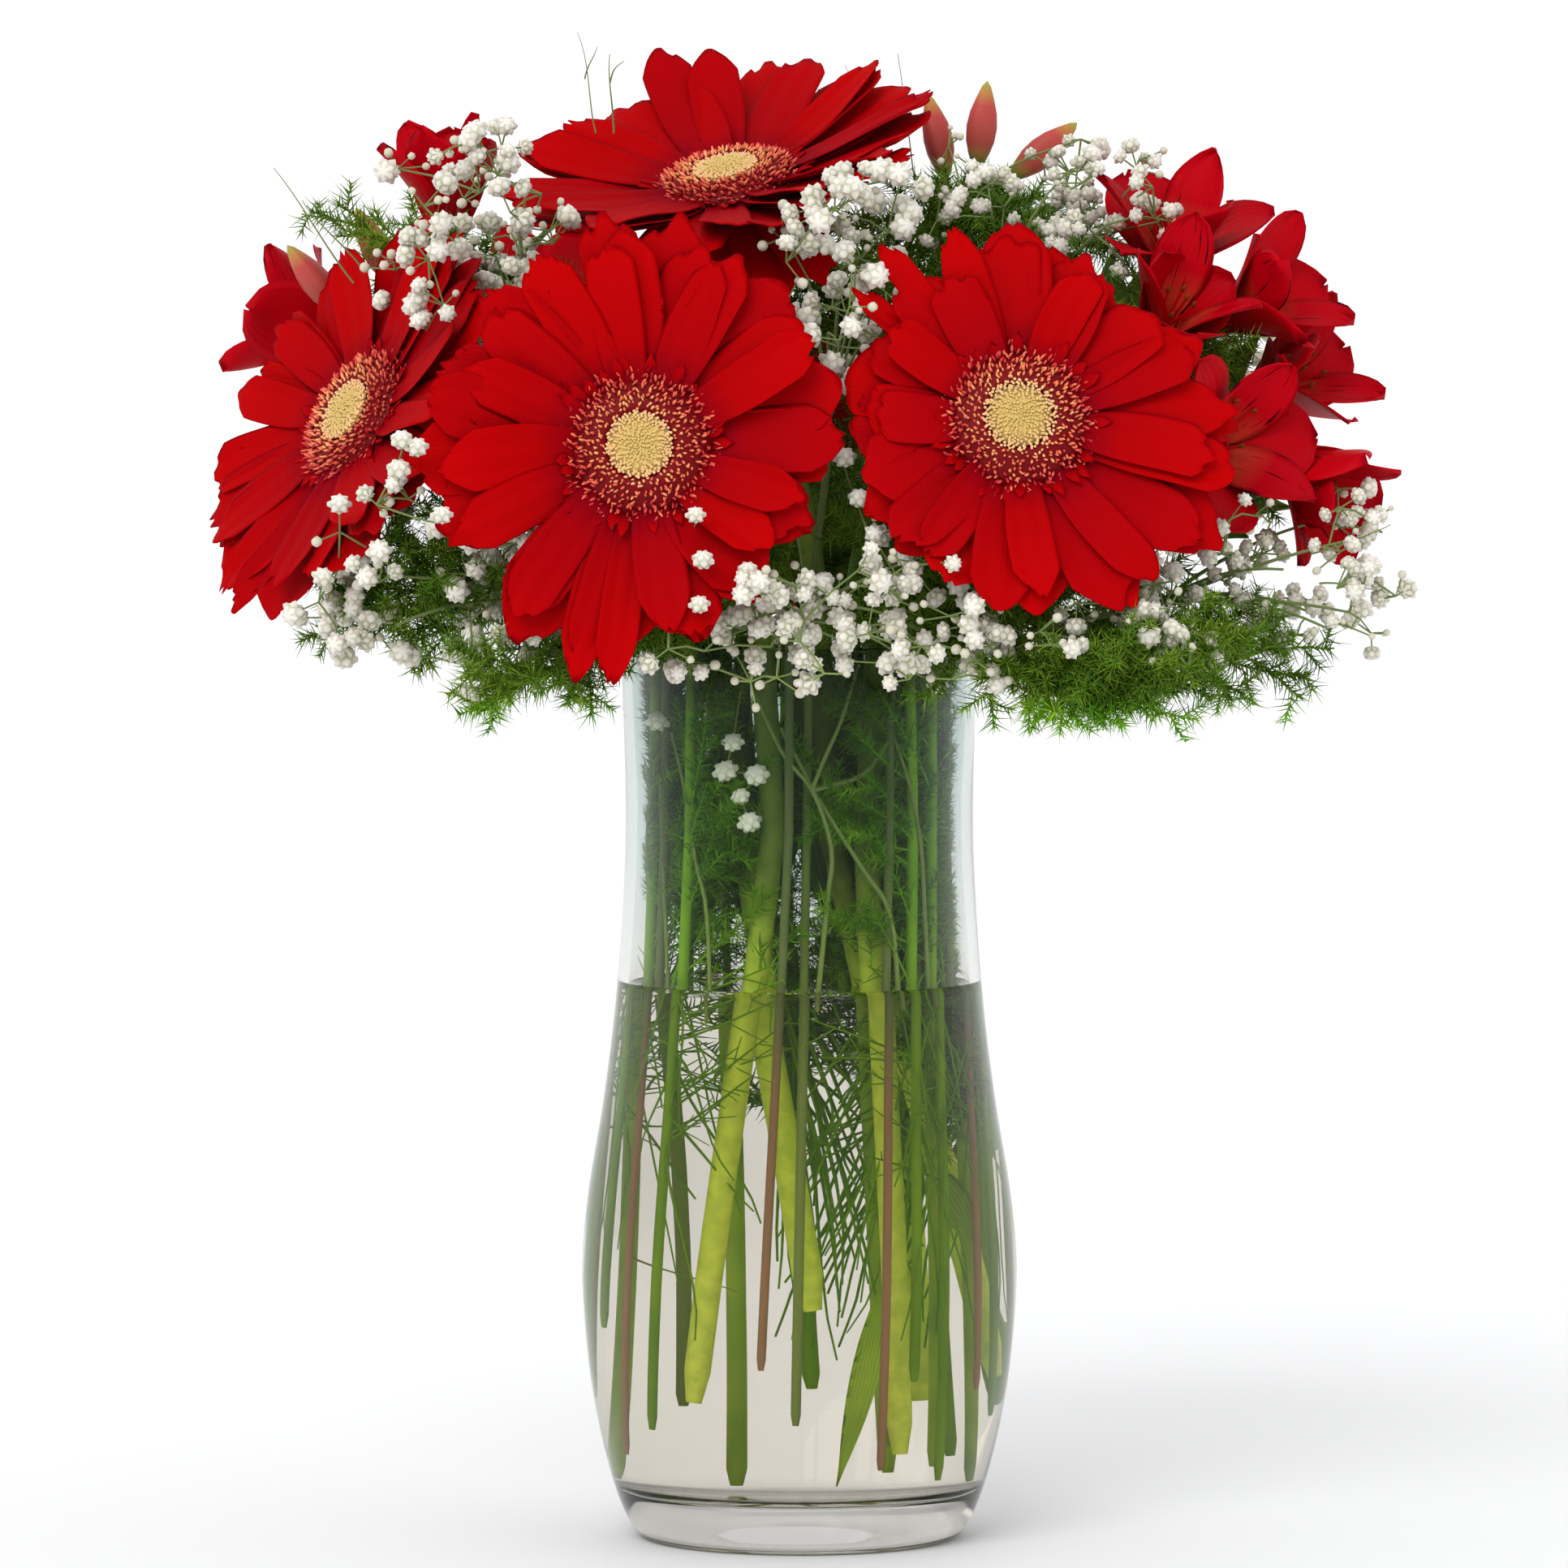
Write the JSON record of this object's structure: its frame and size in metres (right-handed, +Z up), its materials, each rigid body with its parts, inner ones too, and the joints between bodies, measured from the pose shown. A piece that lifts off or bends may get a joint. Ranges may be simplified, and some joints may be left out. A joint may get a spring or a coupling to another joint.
{
  "type": "bouquet of gerberas in a glass vase",
  "caption": "Round bouquet of red gerberas with alstroemeria, gypsophila and asparagus fern in a waisted clear glass vase of water.",
  "frame": {"origin": "centre of the vase's flat foot, on the surface that it stands on", "axes": "+Z up along the vase's axis, -Y towards the front of the bouquet"},
  "size_m": [0.3323, 0.2751, 0.4148],
  "materials": {
    "vase": "clear polished soda-lime glass",
    "water": "clear water",
    "gerbera_petal": "velvety red rays with fine grooves",
    "gerbera_eye": "soft yellow closed florets",
    "gerbera_stem": "pale green stem with fine hairs",
    "alstroemeria_tepal": "satin crimson tepals",
    "alstroemeria_green": "smooth green leaf and stem",
    "gypsophila": "white florets on thin green twigs",
    "fern": "matt green needles"
  },
  "bodies": {
    "root": {"alstroemeria_back_bloom_1": "alstroemeria_tepal", "alstroemeria_back_stem": "alstroemeria_green", "alstroemeria_left_bloom_1": "alstroemeria_tepal", "alstroemeria_left_bloom_3": "alstroemeria_tepal", "alstroemeria_left_stem": "alstroemeria_green", "alstroemeria_right_high_bloom_1": "alstroemeria_tepal", "alstroemeria_right_high_bloom_2": "alstroemeria_tepal", "alstroemeria_right_high_bloom_3": "alstroemeria_tepal", "alstroemeria_right_high_stem": "alstroemeria_green", "alstroemeria_right_low_bloom_1": "alstroemeria_tepal", "alstroemeria_right_low_bloom_2": "alstroemeria_tepal", "alstroemeria_right_low_bloom_3": "alstroemeria_tepal", "alstroemeria_right_low_stem": "alstroemeria_green", "alstroemeria_top_bloom_3": "alstroemeria_tepal", "alstroemeria_top_stem": "alstroemeria_green", "fern_back": "fern", "fern_back_right": "fern", "fern_front_left": "fern", "fern_front_right": "fern", "fern_left_high": "fern", "fern_left_low": "fern", "fern_right": "fern", "fern_right_low": "fern", "fern_top": "fern", "gerbera_back_eye": "gerbera_eye", "gerbera_back_petals": "gerbera_petal", "gerbera_back_stem": "gerbera_stem", "gerbera_front_left_eye": "gerbera_eye", "gerbera_front_left_petals": "gerbera_petal", "gerbera_front_left_stem": "gerbera_stem", "gerbera_front_right_eye": "gerbera_eye", "gerbera_front_right_petals": "gerbera_petal", "gerbera_front_right_stem": "gerbera_stem", "gerbera_left_eye": "gerbera_eye", "gerbera_left_petals": "gerbera_petal", "gerbera_left_stem": "gerbera_stem", "gerbera_top_eye": "gerbera_eye", "gerbera_top_petals": "gerbera_petal", "gerbera_top_stem": "gerbera_stem", "gypsophila_back_left": "gypsophila", "gypsophila_back_right": "gypsophila", "gypsophila_front_high": "gypsophila", "gypsophila_front_low": "gypsophila", "gypsophila_front_right": "gypsophila", "gypsophila_left_high": "gypsophila", "gypsophila_left_low": "gypsophila", "gypsophila_right_high": "gypsophila", "gypsophila_right_low": "gypsophila", "vase": "vase", "water": "water"}
  },
  "joints": []
}
